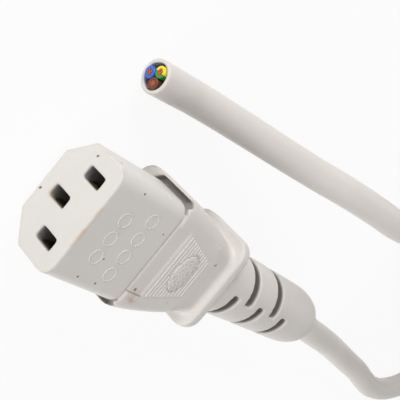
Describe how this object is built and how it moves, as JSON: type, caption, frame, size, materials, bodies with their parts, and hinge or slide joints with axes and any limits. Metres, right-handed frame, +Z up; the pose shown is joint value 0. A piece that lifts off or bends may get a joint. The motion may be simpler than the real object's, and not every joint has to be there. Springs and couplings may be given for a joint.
{
  "type": "c13 power connector",
  "caption": "Moulded appliance mains connector with flat contact slots, a waisted grip, a slotted strain relief and a cord that ends cut off square.",
  "frame": {"origin": "middle of the connector's footprint, on the surface it lies on", "axes": "+Y runs from the front face along the connector towards the cord, +Z is up, out of the flat side over the two outer slots"},
  "size_m": [0.1049, 0.2005, 0.0282],
  "materials": {
    "block_pvc": "satin moulded warm grey plastic",
    "grip_pvc": "satin soft moulded warm grey plastic",
    "cord_pvc": "satin extruded warm grey sheath",
    "tie_pvc": "plain satin band",
    "contact_brass": "bright drawn strip",
    "wire_copper": "bare stranded copper",
    "core_brown": "smooth core insulation",
    "core_blue": "smooth core insulation",
    "core_earth": "smooth core insulation, two-colour"
  },
  "bodies": {
    "root": {"contact_block": "block_pvc", "grip_overmould": "grip_pvc", "line_contact": "contact_brass", "neutral_contact": "contact_brass", "earth_contact": "contact_brass", "line_wire": "wire_copper", "neutral_wire": "wire_copper", "earth_wire": "wire_copper", "line_core": "core_brown", "neutral_core": "core_blue", "earth_core": "core_earth", "cord_lead": "cord_pvc", "cord_hank": "cord_pvc", "hank_tie": "tie_pvc", "cord_tail": "cord_pvc", "cut_sheath": "cord_pvc", "cut_line_core": "core_brown", "cut_neutral_core": "core_blue", "cut_earth_core": "core_earth", "cut_line_wire": "wire_copper", "cut_neutral_wire": "wire_copper", "cut_earth_wire": "wire_copper"}
  },
  "joints": []
}
